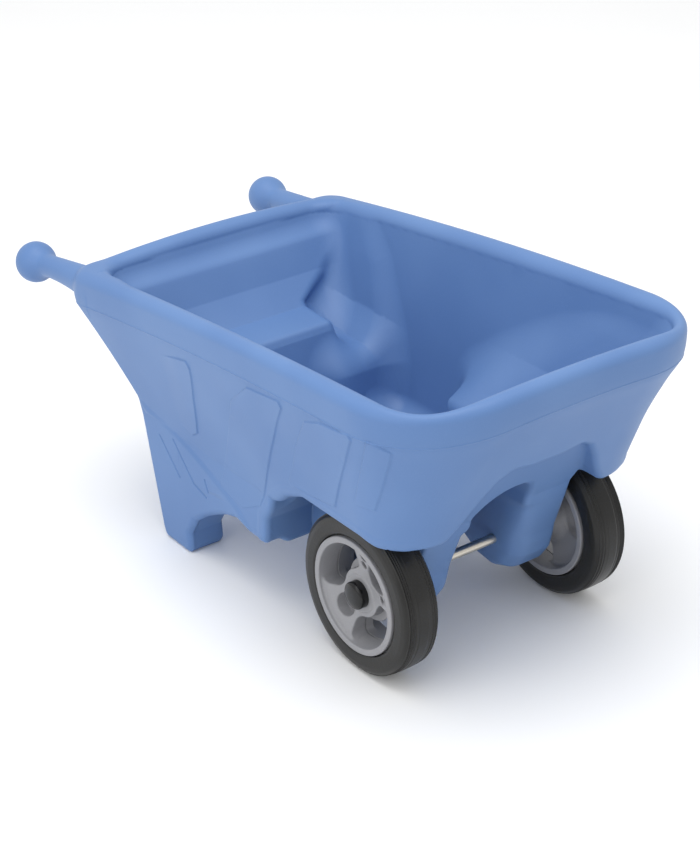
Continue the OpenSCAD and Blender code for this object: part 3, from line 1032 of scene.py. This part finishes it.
class EdgeEffect(EffectGroup):
    """Share of wear on outward edges, and of darkening in folds that stands for dirt and painted shade."""

    def __init__(self) -> None:
        """Builds the group."""
        number, vector = SocketKind.NUMBER, SocketKind.VECTOR
        super().__init__(
            "edge and fold",
            {"Place": (vector, (0, 0, 0)), "Wear": (number, 0.3), "Grime": (number, 0.3)},
            {"Wear": number, "Grime": number},
        )
        m, given = self.maker, self.given
        point = m.add("ShaderNodeNewGeometry").outputs["Pointiness"]
        breakup = m.ramp(m.noise(given["Place"], 45.0, 3.0, 0.6), 0.3, 0.7)
        edge = m.math("MULTIPLY", m.ramp(point, 0.53, 0.62), breakup)
        # Concave places are darkened: dirt and painted shade in the folds.
        fold = m.ramp(m.math("SUBTRACT", 1.0, point), 0.53, 0.62)
        m.feed(self.result, "Wear", m.math("MULTIPLY", edge, given["Wear"]))
        m.feed(self.result, "Grime", m.math("MULTIPLY", fold, given["Grime"]))


@dataclass
class Effects:
    """The node groups that the finishes share."""

    mottle: MottleEffect = field(default_factory=MottleEffect)
    skin: SkinEffect = field(default_factory=SkinEffect)
    edge: EdgeEffect = field(default_factory=EdgeEffect)


Colour = tuple[float, float, float]


@dataclass(frozen=True)
class Finish:
    """A moulded, rubber or metal finish."""

    name: str
    colour: Colour
    pale: Colour
    roughness: float
    effects: Effects
    drift: float = 0.3
    specks: float = 0.08
    spread: float = 0.1
    scuffs: float = 0.3
    wear: float = 0.2
    # Darkening of folds and its colour: dirt, and painted shade in the creases.
    grime: float = 0.2
    fold_dirt_and_shade_colour: Colour = (0.05, 0.05, 0.05)
    peel_scale: float = 260.0
    bump: float = 0.06
    metallic: float = 0.0
    specular: float = 0.5
    coat: float = 0.0
    coat_roughness: float = 0.2
    sheen: float = 0.0

    def material(self) -> bpy.types.Material:
        """The finish's material, made the first time that it is asked for."""
        ready = bpy.data.materials.get(self.name)
        if ready is not None:
            return ready
        material = bpy.data.materials.new(self.name)
        material.use_nodes = True
        tree = material.node_tree
        tree.nodes.clear()
        m = NodeMaker(tree)
        place = m.add("ShaderNodeTexCoord").outputs["Object"]
        mottle = self.effects.mottle.place_in(
            m, Place=place, Colour=(*self.colour, 1.0), Pale=(*self.pale, 1.0), Drift=self.drift,
            Specks=self.specks,
        )
        skin = self.effects.skin.place_in(
            m, Place=place, Peel_Scale=self.peel_scale, Roughness=self.roughness, Spread=self.spread,
            Scuffs=self.scuffs,
        )
        edge = self.effects.edge.place_in(m, Place=place, Wear=self.wear, Grime=self.grime)
        worn = m.blend(
            m.math("MAXIMUM", skin.outputs["Scuff"], edge.outputs["Wear"]), mottle.outputs["Colour"],
            (*self.pale, 1.0),
        )
        # Folds are darkened towards the fold colour: painted shade, with some dirt.
        colour = m.blend(edge.outputs["Grime"], worn, (*self.fold_dirt_and_shade_colour, 1.0))
        bump = m.add("ShaderNodeBump", Strength=self.bump, Distance=0.001, Height=skin.outputs["Height"])
        shader = m.add(
            "ShaderNodeBsdfPrincipled", Base_Color=colour, Roughness=skin.outputs["Roughness"],
            Metallic=self.metallic, Normal=bump.outputs[0],
        )
        shader.inputs["Specular IOR Level"].default_value = self.specular
        shader.inputs["Coat Weight"].default_value = self.coat
        shader.inputs["Coat Roughness"].default_value = self.coat_roughness
        shader.inputs["Sheen Weight"].default_value = self.sheen
        out = m.add("ShaderNodeOutputMaterial")
        tree.links.new(shader.outputs[0], out.inputs[0])
        return material

    def put_on(self, obj: bpy.types.Object) -> None:
        """Gives an object this finish all over."""
        material = self.material()
        if obj.material_slots:
            for slot in obj.material_slots:
                slot.material = material
        else:
            obj.data.materials.append(material)


@dataclass
class Finishes:
    """Every finish of the cart."""

    effects: Effects = field(default_factory=Effects)

    def shell(self) -> Finish:
        """Blue polyethylene of the moulding."""
        # The dark blue fold colour is painted shade in the moulding's creases and hollows.
        return Finish(
            "blue_moulded_shell", (0.100, 0.196, 0.415), (0.143, 0.255, 0.49), 0.47, self.effects,
            drift=0.35, specks=0.10, spread=0.12, scuffs=0.22, wear=0.22, grime=0.18,
            fold_dirt_and_shade_colour=(0.05, 0.11, 0.3), bump=0.10, specular=0.38,
        )

    def hub(self) -> Finish:
        """Grey nylon of the hubs."""
        # The dark grey fold colour is dirt and painted shade in the hub's pockets and folds.
        return Finish(
            "grey_hub_nylon", (0.235, 0.235, 0.25), (0.36, 0.36, 0.375), 0.4, self.effects,
            drift=0.3, specks=0.2, scuffs=0.3, wear=0.5, grime=0.45, fold_dirt_and_shade_colour=(0.06, 0.06, 0.06),
            peel_scale=420.0, bump=0.08, specular=0.5,
        )

    def rubber(self) -> Finish:
        """Black solid rubber of the tyres."""
        return Finish(
            "black_tyre_rubber", (0.009, 0.0087, 0.0082), (0.034, 0.033, 0.03), 0.34, self.effects,
            drift=0.3, specks=0.2, spread=0.26, scuffs=0.5, wear=0.3, grime=0.1, peel_scale=330.0,
            bump=0.2, specular=0.34,
        )

    def gloss(self) -> Finish:
        """Glossy black plastic of the hub caps."""
        return Finish(
            "gloss_black_cap", (0.004, 0.004, 0.0045), (0.02, 0.02, 0.021), 0.16, self.effects,
            drift=0.2, specks=0.05, scuffs=0.25, wear=0.3, grime=0.0, bump=0.03, specular=0.3, coat=0.15,
            coat_roughness=0.14,
        )

    def steel(self) -> Finish:
        """Plated steel of the axle, washers and rings."""
        return Finish(
            "plated_steel", (0.56, 0.51, 0.42), (0.74, 0.71, 0.64), 0.32, self.effects,
            drift=0.6, specks=0.25, spread=0.2, scuffs=0.8, wear=0.3, grime=0.3, peel_scale=600.0,
            bump=0.12, metallic=1.0,
        )

    def nylon(self) -> Finish:
        """Natural nylon of the bushes."""
        return Finish(
            "natural_nylon_bush", (0.66, 0.64, 0.56), (0.78, 0.76, 0.70), 0.4, self.effects, bump=0.05,
        )


# ----------------------------------------------------------------- hardware and studio


@dataclass
class Hardware:
    """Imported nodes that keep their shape: axle, bushes, washers and retaining rings."""

    nodes: dict[str, bpy.types.Object]

    def dress(self, steel: Finish, nylon: Finish) -> None:
        """Gives each kept node its finish."""
        for name, obj in self.nodes.items():
            if name == "axle" or "washer" in name or "ring" in name:
                steel.put_on(obj)
                LOG.info("%s dressed in steel", name)
            elif "bush" in name:
                nylon.put_on(obj)
                LOG.info("%s dressed in nylon", name)


@dataclass
class Studio:
    """Pale floor, soft light and the camera."""

    azimuth: float = 53.047
    elevation: float = 28.284
    roll: float = -0.349
    lens: float = 92.21
    sensor: float = 36.0
    eye: tuple[float, float, float] = (1.938, -1.440, 1.4559)

    def camera(self) -> None:
        """Makes the camera and gives it to the scene."""
        a, e, r = (math.radians(v) for v in (self.azimuth, self.elevation, self.roll))
        back = Vector((math.sin(a) * math.cos(e), -math.cos(a) * math.cos(e), math.sin(e)))
        right = Vector((math.cos(a), math.sin(a), 0.0))
        up = back.cross(right)
        tilted = right * math.cos(r) + up * math.sin(r)
        upright = up * math.cos(r) - right * math.sin(r)
        turn = Matrix((tilted, upright, back)).transposed().to_4x4()
        data = bpy.data.cameras.new("camera")
        data.lens = self.lens
        data.sensor_width = self.sensor
        camera = bpy.data.objects.new("camera", data)
        camera.matrix_world = Matrix.Translation(self.eye) @ turn
        bpy.context.scene.collection.objects.link(camera)
        bpy.context.scene.camera = camera

    def area(self, name: str, at: Sequence[float], aim: Sequence[float], size: float, power: float) -> None:
        """Adds one soft square light that faces a point."""
        data = bpy.data.lights.new(name, "AREA")
        data.size = size
        data.energy = power
        light = bpy.data.objects.new(name, data)
        light.location = at
        light.rotation_euler = (Vector(aim) - Vector(at)).to_track_quat("-Z", "Y").to_euler()
        bpy.context.scene.collection.objects.link(light)

    def lights(self) -> None:
        """Adds the room's even light and the soft lights."""
        world = bpy.data.worlds.new("room")
        world.use_nodes = True
        background = world.node_tree.nodes["Background"]
        background.inputs["Color"].default_value = (0.99, 0.995, 1.0, 1.0)
        background.inputs["Strength"].default_value = 0.86
        bpy.context.scene.world = world
        self.area("overhead", (0.2, -0.3, 2.6), (0.0, 0.0, 0.2), 2.2, 40.0)
        self.area("near_side", (0.4, -2.6, 1.5), (0.0, 0.0, 0.2), 2.0, 14.0)

    def floor(self) -> None:
        """Adds the pale floor."""
        reach = 9.0
        points = np.array([(-reach, -reach, 0), (reach, -reach, 0), (reach, reach, 0), (-reach, reach, 0)])
        floor = object_from_arrays("floor", points, np.array([[0, 1, 2, 3]]))
        material = bpy.data.materials.new("pale_floor")
        material.use_nodes = True
        m = NodeMaker(material.node_tree)
        place = m.add("ShaderNodeTexCoord").outputs["Object"]
        colour = m.blend(m.noise(place, 3.0, 2.0), (0.94, 0.94, 0.94, 1), (0.96, 0.96, 0.96, 1))
        shader = material.node_tree.nodes["Principled BSDF"]
        m.feed(shader, "Base Color", colour)
        shader.inputs["Roughness"].default_value = 0.85
        floor.data.materials.append(material)

    def build(self) -> None:
        """Sets the whole studio up."""
        bpy.context.scene.view_settings.view_transform = "Standard"
        self.camera()
        self.lights()
        self.floor()


def main() -> None:
    """Builds the cart's pieces in order and sets the scene."""
    logging.basicConfig(level=logging.INFO, format="%(name)s: %(message)s")
    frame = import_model()
    low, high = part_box("axle")
    station = (low[0] + high[0]) / 2 / MM
    finishes = Finishes()
    MouldedBody().build(finishes.shell(), station)
    for side in Side:
        Wheel(side=side, station=station).build(finishes.rubber(), finishes.hub(), finishes.gloss())
    Hardware(frame["nodes"]).dress(finishes.steel(), finishes.nylon())
    Studio().build()


if __name__ == "__main__":
    main()
